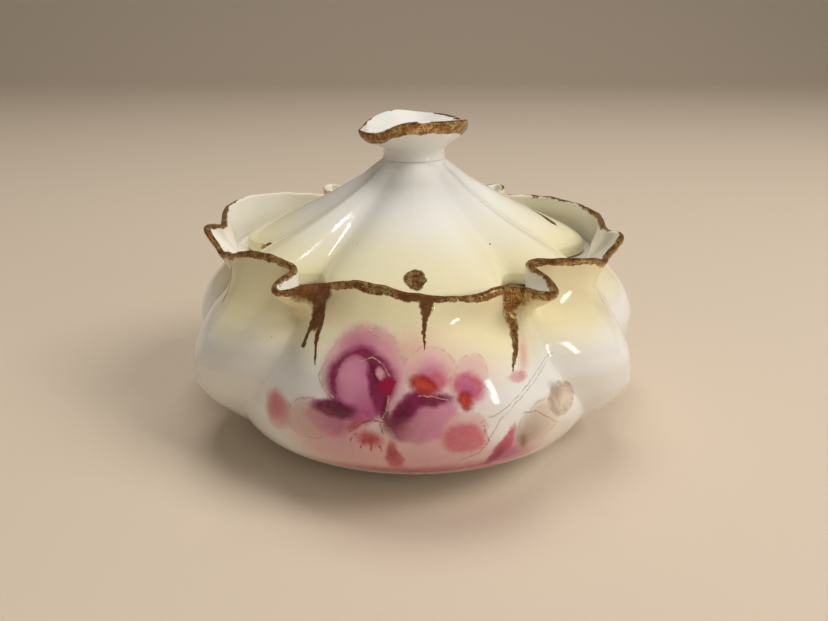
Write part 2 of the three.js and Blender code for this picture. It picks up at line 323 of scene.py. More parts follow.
def rim_controls():
    """Rows of (body angle, x, y, z) round the rim."""
    rows = []
    for i, pleat in enumerate(PLEATS):
        outward = on_circle(pleat["angle"], 1, 0)
        sideways = np.array([-outward[1], outward[0], 0])
        outline = PLEAT_OUTLINE if pleat["turn"] > 0 else PLEAT_OUTLINE[::-1]
        for k, (side, root, out) in enumerate(outline):
            radius = lerp(pleat[root], pleat["tip"], out)
            point = outward * radius + sideways * side * pleat["turn"]
            point[2] = lerp(pleat[root + "_z"], pleat["tip_z"], min(1, out * 1.1))
            share = 2 * k / (len(outline) - 1) - 1
            rows.append([pleat["angle"] + PLEAT_HALF_ANGLE * share, *point])
        after = PLEATS[(i + 1) % len(PLEATS)]["angle"] + (360 if i + 1 == len(PLEATS) else 0)
        for k, (radius, z) in enumerate(PANELS[i]):
            body = lerp(pleat["angle"] + PLEAT_HALF_ANGLE, after - PLEAT_HALF_ANGLE, (k + 1) / 4)
            rows.append([body, *on_circle(body, radius, z)])
    return np.array(rows, float)


def rim_columns():
    """Body angle and rim point of every column of the fine mesh."""
    controls = rim_controls()
    count = len(controls)
    rim = closed_curve(controls[:, 1:], STEPS_PER_SPAN)
    wrapped = np.concatenate([controls[-2:, 0] - 360, controls[:, 0], controls[:3, 0] + 360])
    x = np.arange(-2, count + 3, dtype=float)
    body = smooth_lookup(x, wrapped, np.arange(count * STEPS_PER_SPAN) / STEPS_PER_SPAN)
    return body, rim


def rim_ripple(body):
    """Hand-cut unevenness of the rim, never above the cast height."""
    a = np.radians(body)
    wave = np.sin(31 * a + 2 * np.sin(5 * a)) + 0.7 * np.sin(47 * a + 1.3) + 0.5 * np.sin(83 * a)
    return 0.1 * (wave - 2.2)


def valley_depth(body):
    away = [turn_between(body, centre) for centre, _ in VALLEYS]
    return np.exp(-(np.array(away) / VALLEY_HALF_WIDTH) ** 1.4).max(0)


def dimple(body, z):
    across = (body - DIMPLE["angle"]) / DIMPLE["half_angle"]
    up = (z - DIMPLE["z"]) / DIMPLE["half_height"]
    return DIMPLE["depth"] * np.exp(-across * across - up * up)


def body_radius(body, z):
    depth = smooth_lookup(BODY[:, 0], BODY[:, 2], z)
    return smooth_lookup(BODY[:, 0], BODY[:, 1], z) - depth * valley_depth(body)


def wall_angle(body, z):
    """Where a column stands at height z: the columns follow the swinging valleys."""
    low = smoothstep((SWING_END_Z - z) / SWING_END_Z)
    centre = np.array([v[0] for v in VALLEYS], float)
    swung = centre + np.array([v[1] for v in VALLEYS]) * low
    centre = np.concatenate([[centre[-1] - 360], centre, [centre[0] + 360]])
    swung = np.concatenate([[swung[-1] - 360], swung, [swung[0] + 360]])
    return np.interp(body, centre, swung)


def wall_ring(body, z, inset=0.0):
    return on_circle(wall_angle(body, z), body_radius(body, z) - inset, z)


def flare(body, rise):
    """Share of its flare that a column has reached.

    A panel bends out more and more, while a pleat bulges out early and then stands upright
    below the rim.
    """
    away = np.min([turn_between(body, pleat["angle"]) for pleat in PLEATS], axis=0)
    pleat = np.clip(1 - (away / (2 * PLEAT_HALF_ANGLE)) ** 2, 0, 1)
    bulge = smoothstep((rise - PLEAT_BULGE_START) / (PLEAT_BULGE_END - PLEAT_BULGE_START))
    return lerp(rise ** PANEL_FLARE, bulge, pleat)


def collar_ring(body, rim, rise):
    """Outer face of the collar: round at the shoulder, fully pleated at the rim."""
    z = lerp(SHOULDER_Z, rim[:, 2], rise)
    base = on_circle(body, body_radius(body, z) - dimple(body, z), z)
    ring = lerp(base, rim, flare(body, rise)[:, None])
    ring[:, 2] = z
    return ring


def meridian(z):
    """Distance (mm) up the wall from the foot to height z, along the outline of a lobe."""
    heights = np.linspace(0, BODY[-1, 0], 241)
    radii = smooth_lookup(BODY[:, 0], BODY[:, 1], heights)
    run = np.concatenate([[0], np.cumsum(np.hypot(np.diff(heights), np.diff(radii)))])
    return np.interp(z, heights, run)


def make_bowl():
    body, rim = rim_columns()
    rim[:, 2] += rim_ripple(body)
    reach = STEPS_PER_SPAN
    rings = []
    depths = []   # distance from the rim, positive outside and negative inside

    def add(ring, depth):
        rings.append(ring)
        depths.append(np.broadcast_to(depth, len(body)))

    def circle(radius, z):
        return on_circle(wall_angle(body, z), radius, z)

    for radius, z in FOOT_PROFILE:
        add(circle(radius, z), FOOT_MARK)
    for z in np.concatenate([np.linspace(0.15, 7, 14), np.linspace(7.8, 40.4, 42)]):
        add(wall_ring(body, z), meridian(MEAN_RIM_Z) - meridian(z))

    lip = RIM_THICKNESS / 2
    tallness = rim[:, 2] - SHOULDER_Z
    for rise in np.linspace(0, 1, 40)[:-1]:
        share = rise * (1 - lip / tallness)
        add(collar_ring(body, rim, share), (rim[:, 2] - lerp(SHOULDER_Z, rim[:, 2], share)))
    edge = collar_ring(body, rim, 1 - lip / tallness)
    for turn in np.linspace(0, math.pi, 9):
        ring = inset_ring(edge, lip * (1 - math.cos(turn)), reach)
        ring[:, 2] += lip * math.sin(turn)
        add(ring, lip * math.cos(turn))
    for fall in np.linspace(0, 1, 22)[1:]:
        z = lerp(rim[:, 2] - lip, LEDGE_Z, fall ** 0.9)
        wall = collar_ring(body, rim, (z - SHOULDER_Z) / tallness)
        add(inset_ring(wall, lerp(RIM_THICKNESS, COLLAR_THICKNESS, fall), reach), z - rim[:, 2])

    corner = rings[-1]
    for share in (0.12, 0.5, 0.85):
        add(lerp(corner, circle(LEDGE_RADIUS + 0.6, LEDGE_Z), share), LEDGE_MARK)
    for out, rise in THROAT_PROFILE:
        add(circle(LEDGE_RADIUS + out, LEDGE_Z + rise), THROAT_MARK)
    for z in np.linspace(38.5, 8, 26):
        add(wall_ring(body, z, smooth_lookup(INSIDE[:, 0], INSIDE[:, 1], z)), CAVITY_MARK)
    for radius, z in through(FLOOR_PROFILE, 12):
        add(circle(radius, z), FLOOR_MARK)

    rings = np.array(rings)
    return loft("bowl_porcelain", rings, {"climb": meridian(rings[..., 2]), "from_rim": depths})


# ---- lid ------------------------------------------------------------------------------
LID_COLUMNS = 480


def notch_share(angle):
    away = [turn_between(angle, centre) for centre in NOTCH_ANGLES]
    return np.exp(-(np.array(away) / NOTCH_HALF_WIDTH) ** 1.7).max(0)


def valley_share(angle, share):
    half_width = lerp(VALLEY_NECK_HALF_WIDTH, VALLEY_EDGE_HALF_WIDTH, share)
    away = np.min([turn_between(angle, centre) for centre in NOTCH_ANGLES], axis=0)
    return np.exp(-(away / half_width) ** 2)


def lid_ring(angle, share, z, shrink=0.0):
    notch = notch_share(angle)
    edge = LID_EDGE_RADIUS - LID_EDGE_OVAL * np.cos(2 * np.radians(angle))
    radius = edge * share - NOTCH_DEPTH * notch * share ** 3 - shrink
    sink = VALLEY_SINK * valley_share(angle, share) * math.sin(math.pi * share)
    return on_circle(angle, radius, z - sink)


def make_lid():
    angle = np.arange(LID_COLUMNS) * 360 / LID_COLUMNS
    rings = []
    shares = []   # share of the edge radius on top, over 1 round the edge, 2 underneath

    def add(ring, share):
        rings.append(ring)
        shares.append(np.full(LID_COLUMNS, share))

    notch = FLANGE_NOTCH_DEPTH * notch_share(angle)
    for radius, z in through(LID_HOLLOW[::-1], 34):
        near_flange = smoothstep((radius - FLANGE_BLEND_RADIUS) / FLANGE_BLEND_WIDTH)
        add(on_circle(angle, radius - notch * near_flange, z), 2)
    for radius, z in through(FLANGE_PROFILE, 20):
        add(on_circle(angle, radius - notch, z), 2)
    inner = on_circle(angle, FLANGE_OUTER_RADIUS - notch, LID_SEAT_Z)
    for share in (0.25, 0.6, 0.9):
        add(lerp(inner, lid_ring(angle, 1, LID_SEAT_Z, 0.5), share), 1.5)
    for shrink, z in LID_EDGE_PROFILE:
        add(lid_ring(angle, 1, z, shrink), 1.1)
    for share, z in through(LID_TOP[::-1], 84)[:-1]:
        add(lid_ring(angle, share, z), share)
    for radius in (8.7, 8.4, 5, 2):
        add(on_circle(angle, radius, LID_NECK_Z), 0.1)
    return loft("lid_porcelain", rings, {"share": shares})


# ---- knob -----------------------------------------------------------------------------
KNOB_COLUMNS = 240
KNOB_RIM_ROW = 6         # row of KNOB that is its rim
KNOB_FOOT_MARK = -9      # far below the rim, for the flat foot


def ruffle_height(angle):
    a = np.radians(angle)
    return 1.2 * np.cos(2 * a) + 0.8 * np.sin(2 * a) + 0.9 * np.sin(a) + 0.45 * np.cos(5 * a + 0.6)


def make_knob():
    angle = np.arange(KNOB_COLUMNS) * 360 / KNOB_COLUMNS
    rings = [on_circle(angle, radius, KNOB_FOOT_Z) for radius in (2, 5, 7)]
    runs = [KNOB_FOOT_MARK] * len(rings)
    rim_row = KNOB_RIM_ROW / (len(KNOB) - 1)
    profile = through(KNOB, 72)
    run = np.concatenate([[0], np.cumsum(np.hypot(*np.diff(profile[:, :2], axis=0).T))])
    run -= np.interp(rim_row, np.linspace(0, 1, len(run)), run)
    for (radius, z, ruffle), along in zip(profile, run):
        waves = 1 + 0.035 * ruffle * np.cos(6 * np.radians(angle) + 0.5)
        rings.append(on_circle(angle, radius * waves, z + ruffle * ruffle_height(angle)))
        runs.append(along)
    depths = [np.full(KNOB_COLUMNS, value) for value in runs]
    return loft("knob_porcelain", rings, {"from_rim": depths})


# ---- node helpers ---------------------------------------------------------------------


class Nodes:
    """Short calls that add nodes to a tree and return their first output."""

    def __init__(self, tree):
        self.tree = tree

    def add(self, kind, **settings):
        node = self.tree.nodes.new("ShaderNode" + kind)
        for key, value in settings.items():
            setattr(node, key, value)
        return node

    def put(self, socket, value):
        if isinstance(value, bpy.types.NodeSocket):
            self.tree.links.new(value, socket)
        elif isinstance(value, (tuple, list)) and socket.type == "RGBA" and len(value) == 3:
            socket.default_value = (*value, 1)
        else:
            socket.default_value = value

    def math(self, operation, a, b=0.0, clamp=False):
        node = self.add("Math", operation=operation, use_clamp=clamp)
        self.put(node.inputs[0], a)
        self.put(node.inputs[1], b)
        return node.outputs[0]

    def vector(self, operation, a, b=(0, 0, 0)):
        node = self.add("VectorMath", operation=operation)
        self.put(node.inputs[0], a)
        self.put(node.inputs[1], b)
        return node.outputs["Value" if operation in ("LENGTH", "DOT_PRODUCT", "DISTANCE") else "Vector"]

    def blend(self, factor, a, b):
        node = self.add("Mix", data_type="RGBA")
        self.put(node.inputs[0], factor)
        self.put(node.inputs[6], a)
        self.put(node.inputs[7], b)
        return node.outputs[2]

    def mix(self, factor, a, b):
        node = self.add("Mix", data_type="FLOAT")
        self.put(node.inputs[0], factor)
        self.put(node.inputs[2], a)
        self.put(node.inputs[3], b)
        return node.outputs[0]

    def fade(self, value, start, end, low=0.0, high=1.0):
        """Smooth change from low to high as value goes from start to end."""
        node = self.add("MapRange", interpolation_type="SMOOTHSTEP")
        for socket, number in zip(node.inputs[:5], (value, start, end, low, high)):
            self.put(socket, number)
        return node.outputs[0]

    def noise(self, where, scale, detail=3.0, rough=0.55, colour=False):
        node = self.add("TexNoise")
        self.put(node.inputs["Vector"], where)
        self.put(node.inputs["Scale"], scale)
        self.put(node.inputs["Detail"], detail)
        self.put(node.inputs["Roughness"], rough)
        return node.outputs["Color" if colour else 0]

    def attribute(self, name):
        return self.add("Attribute", attribute_type="GEOMETRY", attribute_name=name).outputs["Fac"]

    def join(self, x, y, z=0.0):
        node = self.add("CombineXYZ")
        for socket, value in zip(node.inputs, (x, y, z)):
            self.put(socket, value)
        return node.outputs[0]

    def split(self, vector):
        node = self.add("SeparateXYZ")
        self.put(node.inputs[0], vector)
        return node.outputs


def new_group(name, inputs, outputs):
    tree = bpy.data.node_groups.new(name, "ShaderNodeTree")
    for label, kind, value in inputs:
        socket = tree.interface.new_socket(label, in_out="INPUT", socket_type="NodeSocket" + kind)
        if value is not None:
            socket.default_value = value
    for label, kind in outputs:
        tree.interface.new_socket(label, in_out="OUTPUT", socket_type="NodeSocket" + kind)
    nodes = Nodes(tree)
    start = tree.nodes.new("NodeGroupInput")
    end = tree.nodes.new("NodeGroupOutput")
    return nodes, start.outputs, end.inputs


def use_group(nodes, tree, **values):
    node = nodes.add("Group")
    node.node_tree = tree
    for label, value in values.items():
        nodes.put(node.inputs[label], value)
    return node.outputs


def new_material(name):
    material = bpy.data.materials.new(name)
    material.use_nodes = True
    tree = material.node_tree
    tree.nodes.clear()
    nodes = Nodes(tree)
    shader = nodes.add("BsdfPrincipled")
    output = nodes.add("OutputMaterial")
    tree.links.new(shader.outputs[0], output.inputs[0])
    return material, nodes, shader


def srgb(red, green, blue):
    """Linear colour of a display colour given as 0 to 255."""
    values = (red / 255, green / 255, blue / 255)
    return tuple(v / 12.92 if v < 0.04 else ((v + 0.055) / 1.055) ** 2.4 for v in values)


# ---- paint ----------------------------------------------------------------------------
GLAZE_ROUGHNESS = 0.09
GLAZE_IOR = 1.52
GLAZE_RIPPLE = 0.00012   # heights of the glaze's ripple and of the gold and enamel (m)
BOWL_RELIEF = 0.00018
LID_RELIEF = 0.00015
KNOB_RELIEF = 0.0002
WHITE_GLAZE = srgb(240, 238, 232)
CREAM_GLAZE = srgb(238, 226, 182)
LEMON_GLAZE = srgb(238, 229, 190)
DARK_GILT = srgb(84, 52, 28)
COPPER_GILT = srgb(150, 102, 60)
BRASS_GILT = srgb(208, 174, 112)
WORN_GILT = srgb(104, 56, 24)
SPECK = srgb(92, 76, 60)
ENAMEL = srgb(220, 188, 156)

DARK_PLUM = srgb(100, 4, 44)
PLUM = srgb(136, 28, 76)
ORCHID = srgb(188, 88, 136)
LILAC = srgb(214, 138, 166)
MAUVE = srgb(214, 150, 160)
ROSE = srgb(200, 92, 112)
PINK = srgb(210, 108, 118)
BLUSH = srgb(226, 180, 172)
# wine red of the low wash on the front: partly the wash's own pink, darkened as painted shade of the
# underside
WINE_AND_PAINTED_SHADE = srgb(150, 50, 56)
CRIMSON = srgb(150, 12, 58)
ORANGE = srgb(190, 58, 36)
RUST = srgb(160, 42, 38)
BEIGE = srgb(222, 202, 178)
TAUPE = srgb(172, 148, 130)
UMBER = srgb(116, 80, 64)

# Places on the wall are (millimetres round from the front, millimetres up from the foot).
PAINT_RADIUS = 62  # turns an angle round the wall into millimetres
# Petals in the order they are laid on: place, half length, half width, turn of the length from
# level (degrees), taper, heart's place along the length (-1 to 1), softness of the edge,
# strength, colour at the heart, colour at the edge, strength of the thin outline.
PETALS = [
    # washes under the bouquet
    ((-14, 36), 15, 8.5, 0, 0, 0, 0.5, 0.85, MAUVE, BLUSH, 0),
    ((4, 33), 16, 9, -3, 0, 0, 0.45, 0.8, MAUVE, BLUSH, 0),
    ((23, 29), 10, 6, 30, 0, -0.5, 0.5, 0.85, ORCHID, MAUVE, 0),
    ((5, 52), 13, 10, 0, 0, 0, 0.6, 0.5, BLUSH, BLUSH, 0),
    ((-1, 61), 7, 4.5, 10, 0, 0, 0.6, 0.35, ROSE, BLUSH, 0),
    ((-23.5, 42), 6.5, 5, 15, 0, 0.3, 0.25, 0.6, MAUVE, BLUSH, 0.5),
    # low band across the front where the wall turns under: pink wash darkened to wine red, partly its
    # own colour and partly painted shade
    ((2, 27.4), 25, 3.4, 2, 0, 0, 0.5, 0.75, WINE_AND_PAINTED_SHADE, ROSE, 0),
    # purple bloom: frilled back petals, dark throat and standing front petal
    ((-11.5, 54.6), 10.6, 9.8, 95, 0.05, -0.2, 0.2, 0.9, ORCHID, MAUVE, 0.3),
    ((-12, 61.4), 6.5, 3.6, 5, 0, -0.2, 0.4, 0.6, ORCHID, MAUVE, 0),
    ((-11.9, 53), 8, 7.9, 97, 0, 0.1, 0.16, 0.95, DARK_PLUM, PLUM, 0),
    ((-12.4, 50.6), 8, 4.9, 103, -0.1, 0.4, 0.12, 0.95, LILAC, ORCHID, 0.25),
    ((-14.6, 52.4), 4.4, 2.3, 100, 0, 0.3, 0.5, 0.7, MAUVE, LILAC, 0),
    ((-8.2, 52), 6, 1.7, -76, 0, -0.6, 0.35, 0.9, DARK_PLUM, PLUM, 0),
    ((-7.4, 55.4), 1.6, 0.9, -66, 0, 0, 0.35, 0.8, BLUSH, MAUVE, 0),
    ((-5.9, 52.4), 2.3, 1.7, 84, 0, 0, 0.3, 0.95, CRIMSON, CRIMSON, 0),
    # lower side petals of the bloom
    ((-18.8, 43.2), 5.6, 4, -8, 0.2, 0.6, 0.3, 0.85, ORCHID, MAUVE, 0),
    ((-17.6, 46), 5.4, 2.1, 2, 0.25, 0.4, 0.35, 0.95, DARK_PLUM, PLUM, 0),
    ((1.4, 45.4), 7.6, 5.8, 30, 0.1, -0.9, 0.16, 0.95, PLUM, LILAC, 0.3),
    ((3, 42), 5.6, 4.2, 20, 0, 0.3, 0.5, 0.6, LILAC, MAUVE, 0),
    ((-1.6, 47.6), 6.4, 2.1, 48, 0, -0.3, 0.4, 0.95, DARK_PLUM, PLUM, 0),
    ((3.6, 49.6), 4.4, 1.7, 0, 0, 0, 0.4, 0.9, DARK_PLUM, PLUM, 0),
    ((-6, 47.8), 3.8, 0.8, -80, 0, 0, 0.4, 0.9, DARK_PLUM, PLUM, 0),
    # stamens and the small red leaf under the bloom
    ((-9.2, 40), 2.8, 2, -8, 0, 0, 0.5, 0.9, RUST, ROSE, 0),
    ((-12.6, 42.6), 2, 1, 40, 0, 0, 0.5, 0.8, RUST, ROSE, 0),
    ((-4.2, 34.6), 5, 1.7, -86, 0.2, -0.3, 0.3, 0.9, RUST, ROSE, 0.2),
    # three small blossoms to the right
    ((3.6, 57), 5.8, 4.4, -3, 0, 0, 0.2, 0.6, MAUVE, BLUSH, 0.35),
    ((3.4, 55.4), 4.6, 3.2, -3, 0, 0, 0.45, 0.8, ORCHID, MAUVE, 0),
    ((5, 53.7), 2.5, 1.9, -24, 0, 0, 0.4, 0.85, ROSE, ROSE, 0),
    ((1.9, 53.2), 3.1, 2.2, -20, 0, 0, 0.3, 0.95, ORANGE, RUST, 0),
    ((12.6, 54.4), 4.8, 3.9, 63, 0, -0.4, 0.2, 0.55, MAUVE, BLUSH, 0.35),
    ((11.7, 51.6), 4, 3.1, -26, 0, 0, 0.35, 0.9, ORCHID, ROSE, 0),
    ((10.9, 48.8), 2.3, 2, -84, 0, 0, 0.35, 0.95, ORANGE, RUST, 0),
    ((10.8, 42.4), 5, 3.8, -10, 0, 0, 0.2, 0.7, MAUVE, BLUSH, 0.3),
    ((10.6, 39.6), 5, 4, -22, 0, -0.5, 0.3, 0.9, ROSE, PINK, 0),
    # narrow crimson leaf and its shadow
    ((22.6, 32.6), 6, 5, 60, 0, -0.3, 0.4, 0.85, ORCHID, MAUVE, 0),
    ((19.6, 34), 7.2, 2, 68, -0.15, -0.4, 0.25, 0.95, CRIMSON, ROSE, 0.2),
    # buds and stray blushes
    ((-34, 40.4), 4.8, 5, 80, 0.1, 0.3, 0.3, 0.9, PINK, BLUSH, 0.2),
    ((-35.4, 41), 3, 2.6, 60, 0, 0, 0.45, 0.6, ROSE, PINK, 0),
    ((27.8, 55.6), 5, 1.9, 62, 0, 0, 0.5, 0.5, PINK, BLUSH, 0),
    ((24.6, 51.5), 2.6, 1.1, -10, 0, 0, 0.4, 0.6, ROSE, PINK, 0),
    # beige flower and leaf at the right
    ((36, 33), 10, 5, -20, 0, 0, 0.6, 0.5, BEIGE, BEIGE, 0),
    ((30, 38.6), 6.8, 5.4, 12, 0, -0.6, 0.3, 0.85, TAUPE, BEIGE, 0.4),
    ((25.2, 35), 3.8, 1.5, -70, 0, 0, 0.5, 0.8, UMBER, TAUPE, 0),
    ((39, 41.4), 6, 3.8, -22, 0, 0.4, 0.2, 0.85, BEIGE, TAUPE, 0.7),
    ((36.6, 44.4), 3.2, 1.5, -42, 0, 0, 0.5, 0.6, TAUPE, TAUPE, 0),
]
# Brush lines: their points, width at the first and at the last, colour, strength, relief.
LINES = [
    ([(14, 43.3), (18.5, 44.8), (24.2, 47.7), (29.6, 50.2), (38.4, 53.3)], 0.21, 0.12, TAUPE, 0.64, 0),
    ([(16.5, 39.2), (18.5, 42.9), (22.8, 46), (27.7, 48.4), (36.3, 51.6)], 0.21, 0.12, TAUPE, 0.64, 0),
    ([(24.3, 43), (28.6, 42.3), (32.8, 39), (37.3, 35.5)], 0.18, 0.12, UMBER, 0.48, 0),
    ([(-30, 44), (-27.5, 42.2), (-26.3, 40.6)], 0.15, 0.12, TAUPE, 0.56, 0),
    ([(14.8, 42.4), (16.1, 38.2), (14, 34.5), (10, 32.6)], 0.21, 0.3, UMBER, 0.56, 0),
    ([(-20.5, 56.8), (-22.2, 52.6), (-20.4, 50), (-17.6, 48.6)], 0.18, 0.21, ENAMEL, 0.76, 1),
    ([(-11.5, 64.6), (-8.8, 63.6)], 0.21, 0.15, ENAMEL, 0.76, 1),
    ([(-13, 57.4), (-9.6, 59), (-7, 57.4), (-5.4, 54.8)], 0.12, 0.21, ENAMEL, 0.68, 1),
    ([(-5.4, 50.4), (-5.7, 46.8), (-7, 44.4)], 0.18, 0.15, ENAMEL, 0.56, 1),
    ([(1, 50.6), (4.6, 50.2), (7, 49.4), (7.4, 47.2)], 0.15, 0.12, ENAMEL, 0.64, 1),
    ([(-13.6, 41), (-11, 43.6), (-8.6, 44.7), (-6.4, 44.4)], 0.24, 0.3, RUST, 0.72, 0),
    ([(-7, 44.2), (-6.4, 41.4)], 0.24, 0.18, UMBER, 0.68, 0),
    ([(-12.4, 41), (-13.6, 38.6)], 0.5, 0.2, ORANGE, 0.8, 0),
    ([(-10.4, 39.6), (-11.4, 36.6)], 0.5, 0.2, ORANGE, 0.85, 0),
    ([(-9, 39.4), (-9, 36)], 0.5, 0.2, ORANGE, 0.85, 0),
    ([(-7.6, 39.6), (-6.8, 36.8)], 0.5, 0.2, ORANGE, 0.85, 0),
    ([(-10, 27.6), (2, 26.4), (12, 28), (22, 30)], 0.3, 0.42, PLUM, 0.64, 0),
]
# Gold runs down the wall from the rim: points, half width at the first and at the last, and
# whether the gold has worn down to its brown ground.
GOLD_RUNS = [
    ([(-27.6, 74.5), (-27.6, 71)], 3.8, 3.3, True),
    ([(-28, 71), (-28.2, 63.5)], 2.4, 1.8, True),
    ([(-29, 65), (-29.6, 57.5)], 1, 0.6, True),
    ([(-26.8, 66), (-25.4, 60), (-23.9, 54.4)], 1.1, 0.15, True),
    ([(-3.4, 72), (7.2, 71.8)], 1, 1, True),
    ([(3.6, 71.4), (3, 67.4)], 2.4, 0.8, True),
    ([(3, 68), (2.6, 65), (2.3, 61.2)], 0.7, 0.15, True),
    ([(27.9, 74.5), (28, 71)], 2.6, 2.3, False),
    ([(28, 71), (28.4, 62.6)], 2.3, 1.7, False),
    ([(28.4, 63), (25.9, 57.8)], 1.6, 0.8, False),
    ([(25.9, 58), (23.1, 53)], 0.8, 0.15, False),
    ([(17, 73.5), (21, 73.2)], 1.6, 1.2, False),
    ([(-71, 71), (-68, 66), (-65, 61)], 0.9, 0.25, False),
    ([(67, 71), (68, 65), (67, 60)], 0.9, 0.25, False),
]
# Gilt dabs on the lid seen from above: (right, back) in millimetres, half length, half width,
# turn.
LID_DABS = [((0.4, -43.9), 2.9, 2.5, 90), ((-42.6, -6.6), 5.4, 1.4, -33), ((38, 3.6), 5, 1.3, -47)]


def blot_group():
    """Mask and distance of a soft-edged leaf shape at one place."""
    inputs = [("Place", "Vector", None), ("Centre", "Vector", None), ("Turn", "Vector", None)]
    inputs += [("Size", "Vector", None), ("Taper", "Float", 0), ("Soft", "Float", 0.2)]
    outputs = [("Mask", "Float"), ("Distance", "Float"), ("Local", "Vector")]
    nodes, given, made = new_group("blot", inputs, outputs)
    local = nodes.add("Mapping", vector_type="TEXTURE")
    for socket, key in zip(local.inputs, ("Place", "Centre", "Turn", "Size")):
        nodes.put(socket, given[key])
    along, across, _ = nodes.split(local.outputs[0])
    width = nodes.math("ADD", nodes.math("MULTIPLY", along, given["Taper"]), 1.0)
    shaped = nodes.join(along, nodes.math("DIVIDE", across, width))
    distance = nodes.vector("LENGTH", shaped)
    inner = nodes.math("SUBTRACT", 1.0, given["Soft"])
    outer = nodes.math("ADD", 1.0, given["Soft"])
    nodes.put(made["Mask"], nodes.fade(distance, outer, inner))
    nodes.put(made["Distance"], distance)
    nodes.put(made["Local"], shaped)
    return nodes.tree


# A layer hands its place on with this much of its own result added. That is far too little to
# see, and it makes the renderer work through the layers one at a time, within its memory.
CHAIN = 1e-6


def petal_group(blot):
    """Lays one petal over the colour that it is given."""
    inputs = [("Place", "Vector", None), ("Grain", "Float", 0.5), ("Centre", "Vector", None)]
    inputs += [("Turn", "Vector", None), ("Size", "Vector", None), ("Taper", "Float", 0)]
    inputs += [("Soft", "Float", 0.2), ("Heart", "Float", 0), ("Strength", "Float", 1)]
    inputs += [("Line", "Float", 0), ("Inner", "Color", None), ("Outer", "Color", None)]
    inputs += [("Colour", "Color", None)]
    nodes, given, made = new_group("petal", inputs, [("Colour", "Color"), ("Place", "Vector")])
    shape = use_group(
        nodes, blot, Place=given["Place"], Centre=given["Centre"], Turn=given["Turn"],
        Size=given["Size"], Taper=given["Taper"], Soft=given["Soft"],
    )
    from_heart = nodes.vector("DISTANCE", shape["Local"], nodes.join(given["Heart"], 0.0))
    reach = nodes.math("ADD", nodes.math("ABSOLUTE", given["Heart"]), 1.0)
    shade = nodes.fade(nodes.math("DIVIDE", from_heart, reach), 0.05, 0.95)
    streak = nodes.math("SUBTRACT", given["Grain"], 0.5)
    shade = nodes.math("ADD", shade, nodes.math("MULTIPLY", streak, 0.9), clamp=True)
    paint = nodes.blend(shade, given["Inner"], given["Outer"])
    worn = nodes.math("ADD", nodes.math("MULTIPLY", streak, 0.5), given["Strength"], clamp=True)
    colour = nodes.blend(nodes.math("MULTIPLY", shape["Mask"], worn), given["Colour"], paint)
    off_edge = nodes.math("ABSOLUTE", nodes.math("SUBTRACT", shape["Distance"], 1.0))
    broken = nodes.math("MULTIPLY", given["Line"], nodes.fade(given["Grain"], 0.35, 0.6))
    ring = nodes.math("MULTIPLY", nodes.fade(off_edge, 0.07, 0.02), broken)
    colour = nodes.blend(ring, colour, TAUPE)
    nodes.put(made["Colour"], colour)
    crumb = nodes.vector("MULTIPLY", colour, (CHAIN, CHAIN, 0))
    nodes.put(made["Place"], nodes.vector("ADD", given["Place"], crumb))
    return nodes.tree


def stroke_group():
    """Mask of a straight brush stroke whose width changes from one end to the other."""
    inputs = [("Place", "Vector", None), ("Start", "Vector", None), ("Along", "Vector", None)]
    inputs += [("Across", "Vector", None), ("From", "Float", 1), ("To", "Float", 1)]
    nodes, given, made = new_group("stroke", inputs, [("Mask", "Float"), ("Place", "Vector")])
    away = nodes.vector("SUBTRACT", given["Place"], given["Start"])
    share = nodes.math("ADD", nodes.vector("DOT_PRODUCT", away, given["Across"]), 0.0, clamp=True)
    nearest = nodes.add("VectorMath", operation="SCALE")
    nodes.put(nearest.inputs[0], given["Along"])
    nodes.put(nearest.inputs["Scale"], share)
    distance = nodes.vector("DISTANCE", away, nearest.outputs[0])
    width = nodes.mix(share, given["From"], given["To"])
    mask = nodes.fade(nodes.math("DIVIDE", distance, width), 1.2, 0.7)
    nodes.put(made["Mask"], mask)
    crumb = nodes.join(nodes.math("MULTIPLY", mask, CHAIN), 0.0)
    nodes.put(made["Place"], nodes.vector("ADD", given["Place"], crumb))
    return nodes.tree


def stroke_mask(nodes, stroke, place, points, start_width, end_width):
    """Joined strokes through `points`: their mask, and the place for the next layer."""
    points = np.array(points, float)
    widths = np.linspace(start_width, end_width, len(points))
    mask = None
    for start, end, w0, w1 in zip(points[:-1], points[1:], widths[:-1], widths[1:]):
        along = end - start
        across = along / (along @ along)
        part = use_group(
            nodes, stroke, Place=place, Start=(*start, 0), Along=(*along, 0),
            Across=(*across, 0), From=w0, To=w1,
        )
        place = part["Place"]
        mask = part["Mask"] if mask is None else nodes.math("MAXIMUM", mask, part["Mask"])
    return mask, place


def gilding(nodes, where, glaze, mask, worn=0.0):
    """Gold laid on a glaze where mask is 1: colour, metalness and roughness."""
    patches = nodes.noise(where, 520, 4, 0.7)
    flecks = nodes.noise(where, 2300, 2, 0.7)
    gold = nodes.blend(nodes.fade(patches, 0.42, 0.62), COPPER_GILT, BRASS_GILT)
    gold = nodes.blend(nodes.fade(flecks, 0.48, 0.36), gold, DARK_GILT)
    gold = nodes.blend(nodes.fade(worn, 0, 1, 0, 0.85), gold, WORN_GILT)
    colour = nodes.blend(mask, glaze, gold)
    rough = nodes.mix(mask, GLAZE_ROUGHNESS, nodes.fade(flecks, 0.3, 0.7, 0.5, 0.28))
    metal = nodes.math("MULTIPLY", mask, nodes.fade(worn, 0, 1, 0.8, 0.3))
    return colour, metal, rough


def specks(nodes, where):
    """Mask of the tiny dark pits that fired porcelain shows."""
    cells = nodes.add("TexVoronoi", feature="F1")
    nodes.put(cells.inputs["Vector"], where)
    nodes.put(cells.inputs["Scale"], 150)
    red, _, _ = nodes.split(cells.outputs["Color"])
    dot = nodes.fade(cells.outputs["Distance"], 0.05, 0.025)
    return nodes.math("MULTIPLY", dot, nodes.fade(red, 0.6, 0.75))


